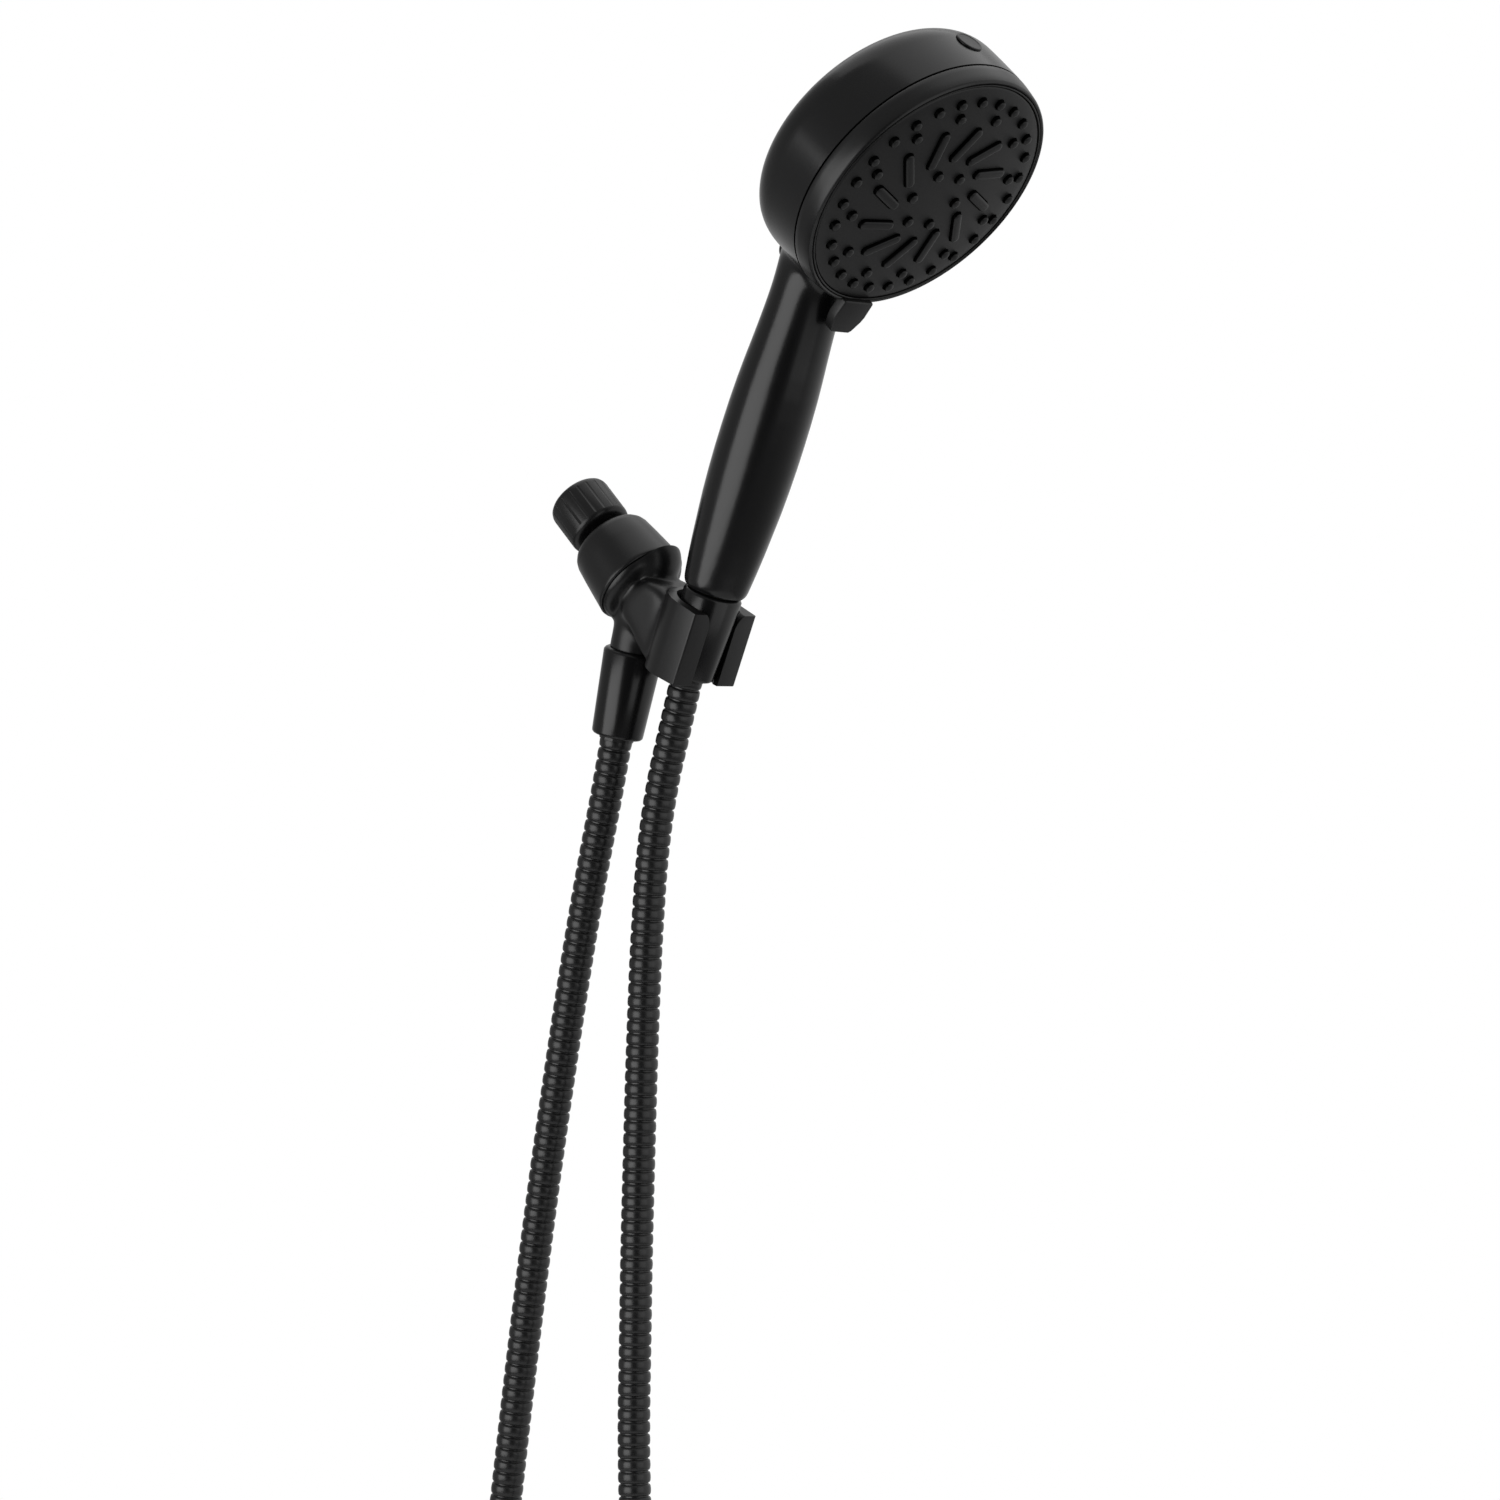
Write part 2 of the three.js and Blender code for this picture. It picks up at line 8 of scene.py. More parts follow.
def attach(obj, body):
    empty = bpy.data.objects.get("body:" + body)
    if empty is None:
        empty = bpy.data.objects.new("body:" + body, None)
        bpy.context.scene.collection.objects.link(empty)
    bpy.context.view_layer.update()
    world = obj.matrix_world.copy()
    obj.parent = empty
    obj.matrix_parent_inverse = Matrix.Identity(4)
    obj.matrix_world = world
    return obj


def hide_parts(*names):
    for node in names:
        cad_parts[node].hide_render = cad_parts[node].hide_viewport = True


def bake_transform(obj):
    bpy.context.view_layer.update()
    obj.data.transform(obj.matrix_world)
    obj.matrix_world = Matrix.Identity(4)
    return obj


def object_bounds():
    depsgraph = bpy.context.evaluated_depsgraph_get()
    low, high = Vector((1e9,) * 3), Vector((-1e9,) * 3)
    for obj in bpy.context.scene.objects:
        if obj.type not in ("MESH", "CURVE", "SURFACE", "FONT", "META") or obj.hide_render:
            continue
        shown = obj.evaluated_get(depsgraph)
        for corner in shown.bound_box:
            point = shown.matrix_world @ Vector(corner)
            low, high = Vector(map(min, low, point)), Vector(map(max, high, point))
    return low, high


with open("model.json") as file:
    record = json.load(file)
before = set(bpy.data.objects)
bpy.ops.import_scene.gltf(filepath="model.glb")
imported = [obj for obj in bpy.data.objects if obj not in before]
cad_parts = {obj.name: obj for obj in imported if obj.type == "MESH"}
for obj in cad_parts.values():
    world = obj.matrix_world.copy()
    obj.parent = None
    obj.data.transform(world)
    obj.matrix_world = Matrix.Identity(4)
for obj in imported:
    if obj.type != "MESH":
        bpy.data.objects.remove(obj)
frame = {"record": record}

CAD_BOX = [list(corner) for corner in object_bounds()]
MM = 0.001

# ------------------------------------------------------------------ the frame's axes
JOINTS = {joint["name"]: joint for joint in frame["record"]["behaviour"]["joints"]}
CAMERA_TURN = -48.8  # degrees round from the front
CAMERA_AWAY = 2.3
EYE = (-1.68197, -1.57048, -0.10739)  # where the camera stands
OUTLET_TILT = 195  # the hose outlet's tilt from straight up towards the front
OUTLET_TOP = (0, -0.0327, -0.0651)


def stood(place, axis):
    """A frame at place whose +Z runs along axis, with X kept across the object."""
    z = Vector(axis).normalized()
    x = Vector((1, 0, 0))
    y = z.cross(x)
    turn = Matrix((x, y, z)).transposed().to_4x4()
    return Matrix.Translation(Vector(place)) @ turn


def joint_frame(name):
    joint = JOINTS[name]
    return stood(joint["pos_m"], joint["axis"])


INLET = joint_frame("ball_spin")
HANDSET = joint_frame("handset_spin")
FACE = joint_frame("spray_select")
tilt = math.radians(OUTLET_TILT)
OUTLET = stood(OUTLET_TOP, (0, -math.sin(tilt), math.cos(tilt)))
BUTTON_HEIGHT = 147 * MM
BUTTON = HANDSET @ Matrix.Translation((0, 0, BUTTON_HEIGHT)) @ Matrix.Rotation(-math.pi / 2, 4, "X")
BADGE_PLACE = (0, 58.08 * MM, -25 * MM)
BADGE_LEAN = 2.4
BADGE = FACE @ Matrix.Translation(BADGE_PLACE) @ Matrix.Rotation(math.radians(-90 - BADGE_LEAN), 4, "X")


# ------------------------------------------------------------------ material building blocks
def new_group(name, inputs, outputs):
    group = bpy.data.node_groups.new(name, "ShaderNodeTree")
    for label, kind, default in inputs:
        socket = group.interface.new_socket(label, in_out="INPUT", socket_type=kind)
        socket.default_value = default
    for label, kind in outputs:
        group.interface.new_socket(label, in_out="OUTPUT", socket_type=kind)
    nodes = group.nodes
    return group, nodes.new("NodeGroupInput"), nodes.new("NodeGroupOutput")


def moulded_grain():
    """Fine moulded-plastic skin: a soft mottle for colour and gloss, and a fine orange peel for height."""
    group, given, out = new_group(
        "moulded_grain",
        [("Mottle Scale", "NodeSocketFloat", 60.0), ("Peel Scale", "NodeSocketFloat", 900.0)],
        [("Mottle", "NodeSocketFloat"), ("Height", "NodeSocketFloat")],
    )
    nodes, links = group.nodes, group.links
    where = nodes.new("ShaderNodeTexCoord")
    mottle = nodes.new("ShaderNodeTexNoise")
    mottle.inputs["Detail"].default_value = 4
    peel = nodes.new("ShaderNodeTexNoise")
    peel.inputs["Detail"].default_value = 2
    links.new(where.outputs["Object"], mottle.inputs["Vector"])
    links.new(where.outputs["Object"], peel.inputs["Vector"])
    links.new(given.outputs["Mottle Scale"], mottle.inputs["Scale"])
    links.new(given.outputs["Peel Scale"], peel.inputs["Scale"])
    links.new(mottle.outputs["Fac"], out.inputs["Mottle"])
    links.new(peel.outputs["Fac"], out.inputs["Height"])
    return group


GRAIN = moulded_grain()


def finish(name, dark, light, rough, metallic=0.0, bump=0.02, mottle=60.0, peel=900.0, specular=0.5):
    """A material whose colour and roughness drift a little between two values, over a fine bumped skin."""
    material = bpy.data.materials.new(name)
    material.use_nodes = True
    nodes, links = material.node_tree.nodes, material.node_tree.links
    shader = nodes["Principled BSDF"]
    shader.inputs["Metallic"].default_value = metallic
    shader.inputs["Specular IOR Level"].default_value = specular
    grain = nodes.new("ShaderNodeGroup")
    grain.node_tree = GRAIN
    grain.inputs["Mottle Scale"].default_value = mottle
    grain.inputs["Peel Scale"].default_value = peel
    colour = nodes.new("ShaderNodeMix")
    colour.data_type = "RGBA"
    colour.inputs["A"].default_value = (*dark, 1)
    colour.inputs["B"].default_value = (*light, 1)
    gloss = nodes.new("ShaderNodeMapRange")
    gloss.inputs["To Min"].default_value = rough[0]
    gloss.inputs["To Max"].default_value = rough[1]
    skin = nodes.new("ShaderNodeBump")
    skin.inputs["Strength"].default_value = bump
    skin.inputs["Distance"].default_value = 0.0004
    links.new(grain.outputs["Mottle"], colour.inputs["Factor"])
    links.new(grain.outputs["Mottle"], gloss.inputs["Value"])
    links.new(grain.outputs["Height"], skin.inputs["Height"])
    links.new(colour.outputs["Result"], shader.inputs["Base Color"])
    links.new(gloss.outputs["Result"], shader.inputs["Roughness"])
    links.new(skin.outputs["Normal"], shader.inputs["Normal"])
    return material


def painted_side_shade(material, axis):
    """Paints shade on the sides square to axis: darker colour, lower specular; what faces along axis is kept.
    """
    nodes, links = material.node_tree.nodes, material.node_tree.links
    shader = nodes["Principled BSDF"]
    where = nodes.new("ShaderNodeTexCoord")
    facing = nodes.new("ShaderNodeVectorMath")
    facing.operation = "DOT_PRODUCT"
    facing.inputs[1].default_value = axis
    unshaded_level = nodes.new("ShaderNodeMapRange")
    unshaded_level.inputs["From Min"].default_value = 0.45
    unshaded_level.inputs["From Max"].default_value = 0.85
    unshaded_level.inputs["To Min"].default_value = 0.03
    unshaded_level.inputs["To Max"].default_value = 0.5
    links.new(where.outputs["Normal"], facing.inputs[0])
    links.new(facing.outputs["Value"], unshaded_level.inputs["Value"])
    links.new(unshaded_level.outputs["Result"], shader.inputs["Specular IOR Level"])
    tint = nodes["Mix"]
    # painted shade: the sides' colour is mixed towards near-black, by how little they face along axis
    dim = nodes.new("ShaderNodeMix")
    dim.data_type = "RGBA"
    dim.inputs["A"].default_value = (0.0012, 0.0012, 0.0013, 1)
    links.new(unshaded_level.outputs["Result"], dim.inputs["Factor"])
    links.new(tint.outputs["Result"], dim.inputs["B"])
    links.new(dim.outputs["Result"], shader.inputs["Base Color"])


def grey(value):
    return (value, value, value * 1.04)


SATIN_BLACK = finish("satin_black", grey(0.0070), grey(0.0085), (0.20, 0.24))
CAST_BLACK = finish("cast_black", grey(0.0070), grey(0.0085), (0.30, 0.35))
FACE_BLACK = finish("face_black", grey(0.0065), grey(0.0085), (0.36, 0.42), bump=0.04)
NOZZLE_RUBBER = finish("nozzle_rubber", grey(0.0045), grey(0.006), (0.36, 0.42), bump=0.04)
# painted shade on the sides of the nozzle nubs, ridges and mat, darkened by their facing
painted_side_shade(NOZZLE_RUBBER, JOINTS["spray_select"]["axis"])
HOSE_COAT = finish("hose_coat", grey(0.009), grey(0.014), (0.26, 0.34), bump=0.05, mottle=220.0,
                   specular=0.6)
SEAL_RUBBER = finish("seal_rubber", grey(0.010), grey(0.018), (0.55, 0.75), bump=0.1)
BLACK_STEEL = finish("black_steel", grey(0.012), grey(0.018), (0.3, 0.42), 0.4, bump=0.05)
MACHINED_BRASS = finish("machined_brass", (0.52, 0.37, 0.17), (0.62, 0.46, 0.23), (0.24, 0.4), 1.0)
WIRE_STEEL = finish("wire_steel", grey(0.45), grey(0.6), (0.25, 0.4), 1.0)
WHITE_PLASTIC = finish("white_plastic", grey(0.62), grey(0.72), (0.35, 0.5), bump=0.05)

CAD_FINISHES = {
    SATIN_BLACK: ["inlet_nut", "collar_nut"],
    BLACK_STEEL: ["ball_stub"],
    WIRE_STEEL: ["filter_screen"],
    HOSE_COAT: ["outlet_ferrule", "handset_ferrule"],
    MACHINED_BRASS: ["handset_nipple"],
    SEAL_RUBBER: ["inlet_washer", "rear_seat_seal", "outlet_washer", "handset_washer", "tube_seal",
                  "chamber_seal"],
    WHITE_PLASTIC: ["flow_restrictor", "front_seat_ring", "handset_restrictor", "water_tube", "head_manifold",
                    "spray_plate", "selector_disc"],
}


def coat(piece, material):
    piece.data.materials.clear()
    piece.data.materials.append(material)


# ------------------------------------------------------------------ modelling helpers
def alone(piece):
    bpy.ops.object.select_all(action="DESELECT")
    piece.select_set(True)
    bpy.context.view_layer.objects.active = piece


def named(name):
    piece = bpy.context.active_object
    piece.name = piece.data.name = name
    return piece


def turned(name, profile, sides=96, sag=None):
    """A turned piece: a ring is extruded up through the [radius, height] stations, in millimetres.
    With sag given, each ring is also set over along Y by sag(height)."""
    bpy.ops.object.select_all(action="DESELECT")
    stations = [(max(r, 0.01) * MM, z * MM, sag(z) * MM if sag else 0.0) for r, z in profile]
    radius, height, over = stations[0]
    bpy.ops.mesh.primitive_circle_add(vertices=sides, radius=radius, location=(0, 0, 0))
    piece = named(name)
    bpy.ops.object.mode_set(mode="EDIT")
    bpy.ops.mesh.select_all(action="SELECT")
    bpy.ops.transform.translate(value=(0, over, height))
    for next_radius, next_height, next_over in stations[1:]:
        step = (0, next_over - over, next_height - height)
        bpy.ops.mesh.extrude_region_move(TRANSFORM_OT_translate={"value": step})
        grow = next_radius / radius
        bpy.ops.transform.resize(value=(grow, grow, 1), center_override=(0, next_over, next_height))
        radius, height, over = next_radius, next_height, next_over
    bpy.ops.mesh.select_all(action="SELECT")
    bpy.ops.mesh.remove_doubles(threshold=0.00003)
    bpy.ops.mesh.normals_make_consistent(inside=False)
    bpy.ops.object.mode_set(mode="OBJECT")
    return piece


def block(name, size, centre):
    """A box of that size and centre in millimetres, ready to be shaped."""
    bpy.ops.object.select_all(action="DESELECT")
    bpy.ops.mesh.primitive_cube_add(size=1, location=(0, 0, 0))
    piece = named(name)
    piece.scale = [s * MM for s in size]
    piece.location = [c * MM for c in centre]
    bpy.ops.object.transform_apply(location=True, rotation=True, scale=True)
    return piece


def place(piece, matrix):
    alone(piece)
    piece.matrix_world = matrix
    bpy.ops.object.transform_apply(location=True, rotation=True, scale=True)
    return piece


def apply_modifier(piece, kind, **settings):
    alone(piece)
    modifier = piece.modifiers.new(kind.lower(), kind)
    for key, value in settings.items():
        setattr(modifier, key, value)
    bpy.ops.object.modifier_apply(modifier=modifier.name)


def joined(piece, *others):
    for other in others:
        apply_modifier(piece, "BOOLEAN", operation="UNION", object=other, solver="EXACT")
        bpy.data.objects.remove(other)
    return piece


def carved(piece, *tools):
    for tool in tools:
        apply_modifier(piece, "BOOLEAN", operation="DIFFERENCE", object=tool, solver="EXACT")
        bpy.data.objects.remove(tool)
    return piece


def melted(piece, voxel, rounds, factor=0.5):
    """Runs the joined shapes into one moulded skin with soft inner corners."""
    apply_modifier(piece, "REMESH", mode="VOXEL", voxel_size=voxel * MM)
    if rounds:
        apply_modifier(piece, "SMOOTH", factor=factor, iterations=rounds)
    return piece


def edged(piece, width, segments=3, angle=35):
    apply_modifier(piece, "BEVEL", width=width * MM, segments=segments, limit_method="ANGLE",
                   angle_limit=math.radians(angle), harden_normals=False)
    return piece


def smooth(piece, angle=40):
    alone(piece)
    bpy.ops.object.shade_smooth_by_angle(angle=math.radians(angle))
    return piece


def installed(piece, body, material, slot, *nodes):
    coat(piece, material)
    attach(piece, body)
    if nodes:
        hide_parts(*nodes)
    return piece


# ------------------------------------------------------------------ camera
def camera():
    data = bpy.data.cameras.new("camera")
    turn = math.radians(CAMERA_TURN)
    back = Vector((math.sin(turn), -math.cos(turn), 0))
    piece = bpy.data.objects.new("camera", data)
    bpy.context.scene.collection.objects.link(piece)
    piece.location = EYE
    piece.rotation_mode = "QUATERNION"
    piece.rotation_quaternion = (-back).to_track_quat("-Z", "Y")
    view_width = 1500 / 2.34 * MM  # the width seen at the origin's distance
    data.sensor_width = 36
    data.lens = data.sensor_width * CAMERA_AWAY / view_width
    data.clip_end = 50
    bpy.context.scene.camera = piece



# ------------------------------------------------------------------ hose
HOSE_ROUTE = [
    (22.9, -101.7), (16.8, -127), (7.7, -162.6), (-0.2, -196.8), (-10.9, -248.5), (-20.6, -299),
    (-30, -353.6), (-41, -423.4), (-49, -478), (-57, -536), (-64, -596), (-66, -648), (-61, -692),
    (-46, -728), (-23, -749), (4, -750), (27, -731), (41, -697), (46, -652), (45, -596), (41, -536),
    (37, -478), (33, -417), (33.6, -349), (35.6, -280.4), (38.5, -212.7), (40.7, -178.9),
    (44.4, -145.1), (49.6, -120), (55, -102), (63.2, -75.9),
]
HOSE_RADIUS = 7.0
RIDGE_PITCH = 5.3
RIDGE_SECTION = [(0.0, -0.95), (0.05, -0.95), (0.1, -0.42), (0.2, -0.12), (0.38, 0.0), (0.58, 0.0),
                 (0.78, -0.12), (0.9, -0.42), (0.95, -0.95), (1.0, -0.95)]  # [share of the pitch, drop]
HOSE_SIDES = 22


def hose_line():
    """The curve the hose hangs along, smooth through every stop of the route."""
    bpy.ops.object.select_all(action="DESELECT")
    bpy.ops.curve.primitive_bezier_curve_add(location=(0, 0, 0))
    line = bpy.context.active_object
    line.name = "hose_line"
    line.data.twist_mode = "MINIMUM"
    spline = line.data.splines[0]
    spline.resolution_u = 24
    spline.bezier_points.add(len(HOSE_ROUTE) - len(spline.bezier_points))
    for point, (forward, up) in zip(spline.bezier_points, HOSE_ROUTE):
        point.handle_left_type = point.handle_right_type = "AUTO"
        point.co = (0, -forward * MM, up * MM)
    bpy.context.view_layer.update()
    return line, spline.calc_length()


def hose():
    line, total = hose_line()
    ridges = round(total / (RIDGE_PITCH * MM))
    pitch = total / ridges
    section = [(HOSE_RADIUS + drop, share * pitch / MM) for share, drop in RIDGE_SECTION]
    piece = turned("hose_tube", section, HOSE_SIDES)
    apply_modifier(piece, "ARRAY", count=ridges, use_relative_offset=False, use_constant_offset=True,
                   constant_offset_displace=(0, 0, pitch), use_merge_vertices=True, merge_threshold=0.00003)
    alone(piece)
    bpy.ops.object.mode_set(mode="EDIT")
    bpy.ops.mesh.select_all(action="SELECT")
    bpy.ops.mesh.fill_holes(sides=0)
    bpy.ops.mesh.select_all(action="SELECT")
    bpy.ops.mesh.normals_make_consistent(inside=False)
    bpy.ops.object.mode_set(mode="OBJECT")
    apply_modifier(piece, "CURVE", object=line, deform_axis="POS_Z")
    alone(line)
    bpy.ops.object.convert(target="MESH")
    bpy.data.objects.remove(line)
    smooth(piece, 60)
    coat(piece, HOSE_COAT)
    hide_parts("hose")
    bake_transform(piece)
    return piece


# ------------------------------------------------------------------ bracket
def inlet_nut():
    flutes = 20
    piece = turned("knurled_nut", [
        (10.3, 16.2), (10.3, 0.6), (10.7, 0.1), (11.4, 0), (12.3, 0.3), (13.1, 1.1), (13.5, 2.1),
        (13.65, 3.2), (13.65, 18.4), (13.45, 19.4), (12.9, 20.3), (12.0, 20.9), (10.8, 21.2),
        (7.4, 21.2), (7.4, 16.2), (10.3, 16.2),
    ], 120)
    groove = turned("groove", [(0, 1.3), (0.9, 1.7), (1.5, 2.8), (1.5, 18.4), (0.9, 19.6), (0, 20)], 20)
    turns = [Matrix.Rotation(2 * math.pi * (i + 0.5) / flutes, 4, "Z") for i in range(flutes)]
    aside = Matrix.Translation((14.98 * MM, 0, 0))
    carved(piece, repeated(groove, "grooves", [turn @ aside for turn in turns]))
    return installed(smooth(place(piece, INLET), 27), "arm_inlet", CAST_BLACK, "black", "inlet_nut")


def collar_nut():
    piece = turned("tapered_collar", [
        (16.3, 32.1), (12.4, 31.4), (10.9, 26.4), (11.8, 25.6), (13.2, 25.5), (14.8, 25.9), (16.2, 26.8),
        (17.2, 28.2), (17.8, 30), (18.7, 37), (20.15, 50.6), (20.3, 51.7), (20.1, 52.4), (19.6, 52.7),
        (18.6, 52.7), (17.9, 52.3), (17.5, 48), (16.3, 47), (16.3, 32.1),
    ], 128)
    return installed(smooth(place(piece, INLET), 50), "bracket", CAST_BLACK, "black", "collar_nut")


def drawn(name, points, push):
    """A prism: the outline is drawn point by point in millimetres, filled and pushed along push."""
    bpy.ops.object.select_all(action="DESELECT")
    bpy.ops.mesh.primitive_plane_add(size=MM, location=(0, 0, 0))
    piece = named(name)
    bpy.ops.object.mode_set(mode="EDIT")
    bpy.ops.mesh.select_all(action="SELECT")
    bpy.ops.mesh.merge(type="CENTER")
    stops = [Vector(point) * MM for point in points]
    bpy.ops.transform.translate(value=stops[0])
    for here, there in zip(stops, stops[1:] + stops[:1]):
        bpy.ops.mesh.extrude_region_move(TRANSFORM_OT_translate={"value": there - here})
    bpy.ops.mesh.select_all(action="SELECT")
    bpy.ops.mesh.remove_doubles(threshold=0.00001)
    bpy.ops.mesh.edge_face_add()
    bpy.ops.mesh.extrude_region_move(TRANSFORM_OT_translate={"value": Vector(push) * MM})
    bpy.ops.mesh.select_all(action="SELECT")
    bpy.ops.mesh.normals_make_consistent(inside=False)
    bpy.ops.object.mode_set(mode="OBJECT")
    return piece


def side_block(name, outline, width):
    """A block with its side outline given in [forward, up] millimetres, centred on the middle plane."""
    return drawn(name, [(-width / 2, -forward, up) for forward, up in outline], (width, 0, 0))


def cradle(name, inset):
    """The cradle's block: round at the back, with two arms that end in flat fronts with tight corners."""
    wide, back, front, corner = 19.2 - inset, 18 - inset, 10.4 - inset, 1.0
    outline = [(wide * math.cos(math.pi * i / 40), back * math.sin(math.pi * i / 40)) for i in range(41)]
    for sign in (-1, 1):
        arc = [math.radians(90 * i / 4) for i in range(5)]
        turn = [(sign * (wide - corner + corner * math.cos(a)), corner - front - corner * math.sin(a))
                for a in arc]
        outline += turn if sign < 0 else turn[::-1]
    piece = plate(name, outline, -38.6 + inset, -4.8 - inset)
    return place(edged(piece, 0.5, 3, 40), HANDSET)


def plate(name, outline, low, high):
    """A flat outline in [x, y] millimetres, pushed up from low to high."""
    return drawn(name, [(x, y, low) for x, y in outline], (0, 0, high - low))


def ball(name, radius, forward, up):
    """A round lump on the object's middle plane, in millimetres."""
    bpy.ops.object.select_all(action="DESELECT")
    bpy.ops.mesh.primitive_ico_sphere_add(subdivisions=5, radius=radius * MM, location=(0, 0, 0))
    return place(named(name), Matrix.Translation((0, -forward * MM, up * MM)))


def arm_corner(side):
    """What is taken off an arm's top inner corner, to leave it rounded."""
    radius, inner, top = 8.0, 8.3, -5.4
    centre = (side * (inner + radius), 0, top - radius)
    size = (radius + 1.5, 24, radius + 2)
    corner = block("arm_corner", size, (side * (inner + (radius - 1.5) / 2), -18, top + 2 - size[2] / 2))
    lie = Matrix.Translation([c * MM for c in centre]) @ Matrix.Rotation(-math.pi / 2, 4, "X")
    carved(corner, place(turned("corner_round", [(0, -34), (radius, -34), (radius, 2), (0, 2)], 96), lie))
    return place(corner, HANDSET)


def bracket_body():
    lip = place(turned("socket_lip", [
        (0, 47), (19.5, 47), (19.5, 53.6), (19.3, 54.6), (18.5, 55.6), (17.0, 56.3), (14.5, 56.8), (0, 57.5),
    ], 96), INLET)
    boss = place(turned("boss", [(0, -26), (10.5, -26), (10.5, 3), (0, 3)], 64), OUTLET)
    neck = place(turned("neck", [(0, 48), (11.5, 48), (11.5, 62), (0, 62)], 64), INLET)
    limb = side_block("limb", [(50, -35), (57, -38), (62, -43), (58, -60), (53, -72), (47, -67), (41, -57),
                               (35, -49.5), (37, -43.5), (43, -38)], 27)
    edged(limb, 7, 6, 20)
    bulb = ball("bulb", 13.4, 42.1, -27.2)
    body = joined(cradle("cradle_core", 0.15), limb, boss, lip, neck, bulb)
    melted(body, 0.6, 110)
    joined(body, cradle("cradle_block", 0))
    lean = Matrix.Rotation(math.radians(4.5), 4, "X")
    cradle_top = HANDSET @ Matrix.Translation((0, 0, -5.8 * MM)) @ lean
    above = place(block("above", (60, 60, 20), (0, 0, 10)), cradle_top)
    keep = place(block("keep", (60, 40, 40), (0, 32, 0)), HANDSET)
    carved(above, keep)
    collar_room = place(turned("collar_room", [
        (15.6, 30), (30, 30), (30, 53), (15.6, 53), (15.6, 30)], 96), INLET)
    nut_room = place(turned("nut_room", [(0, -0.35), (13.3, -0.35), (13.3, 30), (0, 30)], 96), OUTLET)
    carved(body, above, arm_corner(-1), arm_corner(1), collar_room, nut_room)
    seat = place(turned("cone_room", [
        (0, -52), (11.3, -52), (11.3, -38.7), (12.7, -10), (14.6, -5.6), (15.2, 8), (0, 8)], 96), HANDSET)
    slot = place(block("slot", (16.6, 30, 70), (0, -15, -22)), HANDSET)
    carved(body, seat, slot)
    carved(body, place(ball_room(), INLET))
    thread = place(turned("hose_thread", [
        (0, -1), (9.8, -1), (9.8, 9.6), (9.2, 10), (4.5, 10), (4.5, 2), (0, 2)], 48), OUTLET)
    joined(body, thread)
    body.name = "bracket_casting"
    return installed(smooth(body, 50), "bracket", CAST_BLACK, "black", "bracket_body")


def ball_room():
    """The hollow in the socket for the back of the steel ball."""
    angles = [math.radians(27 + 7 * i) for i in range(10)]
    stations = [(14.5 * math.cos(a), 39 + 14.5 * math.sin(a)) for a in angles]
    return turned("ball_room", [(0, 44), (16, 44), *stations, (0, 53.5)], 48)


# ------------------------------------------------------------------ conical hose nuts
def cone_nut(name, matrix):
    piece = turned(name, [
        (10.2, -0.02), (11.2, -0.02), (12.1, -0.6), (12.65, -1.5), (11.05, -36.0), (10.9, -36.8),
        (10.3, -37.4), (9.0, -37.5), (8.4, -37.1), (8.1, -36.2), (7.7, -35.6), (7.7, -17),
        (10.2, -15), (10.2, -0.02),
    ], 112)
    return place(piece, matrix)


def hose_nuts():
    upside_down = Matrix.Rotation(math.pi, 4, "X")
    outlet = cone_nut("outlet_cone", OUTLET @ upside_down)
    installed(smooth(outlet, 45), "bracket", SATIN_BLACK, "black", "outlet_cone_nut")
    handset = cone_nut("handset_cone", HANDSET)
    installed(smooth(handset, 45), "handset", SATIN_BLACK, "black", "handset_cone_nut")


# ------------------------------------------------------------------ handset shell
HANDLE_OUTLINE = [
    (0, 0.1), (11.6, 0.1), (12.5, 0.4), (13.2, 1.1), (13.6, 2.1), (13.9, 3.2), (14.9, 12), (15.75, 21),
    (16.5, 31), (17.15, 40), (17.6, 50), (17.85, 60), (17.9, 70), (17.8, 80), (17.5, 90), (17.0, 99),
    (16.45, 108), (16.0, 117), (15.7, 125), (15.5, 133), (15.8, 141), (16.2, 150), (15.4, 158),
    (13.5, 165), (0, 166),
]
HEAD_RADIUS, HEAD_DEPTH, HEAD_SHOULDER, HEAD_FRONT = 58.3, 46.4, 29.8, 10.15
HEAD_FULLNESS, HEAD_SAG = 0.3, 1.9


def dome():
    stations = []
    steps = 40
    for i in range(1, steps):
        a = math.pi / 2 * (1 - i / steps)
        stations.append((HEAD_RADIUS * math.cos(a) ** HEAD_FULLNESS,
                         -HEAD_SHOULDER - (HEAD_DEPTH - HEAD_SHOULDER) * math.sin(a)))
    profile = [(0, -HEAD_DEPTH), *stations, (HEAD_RADIUS, -HEAD_SHOULDER)]
    straight = 5
    step = (HEAD_SHOULDER - HEAD_FRONT) / straight
    profile += [(HEAD_RADIUS, -HEAD_SHOULDER + step * i) for i in range(1, straight + 1)]
    profile += [(HEAD_RADIUS, -HEAD_FRONT + 6), (0, -HEAD_FRONT + 6)]

    def sag(height):
        share = max(0, (-HEAD_FRONT - height) / (HEAD_DEPTH - HEAD_FRONT))
        return -HEAD_SAG * share * share

    return turned("dome", profile, 128, sag)


def shell():
    body = place(dome(), FACE)
    handle = place(turned("handle", HANDLE_OUTLINE, 96), HANDSET)
    joined(body, handle)
    melted(body, 1.0, 0)
    neck_softened(body)
    wide = HEAD_RADIUS + 0.5
    front = turned("front_cut", [(0, -HEAD_FRONT), (wide, -HEAD_FRONT), (wide, 30), (0, 30)], 128)
    place(front, FACE)
    foot = place(turned("foot_cut", [(0, -20), (30, -20), (30, 0.1), (0, 0.1)], 64), HANDSET)
    carved(body, front, foot)
    body.name = "handset_shell"
    return installed(smooth(body, 60), "handset", SATIN_BLACK, "black", "body_shell")


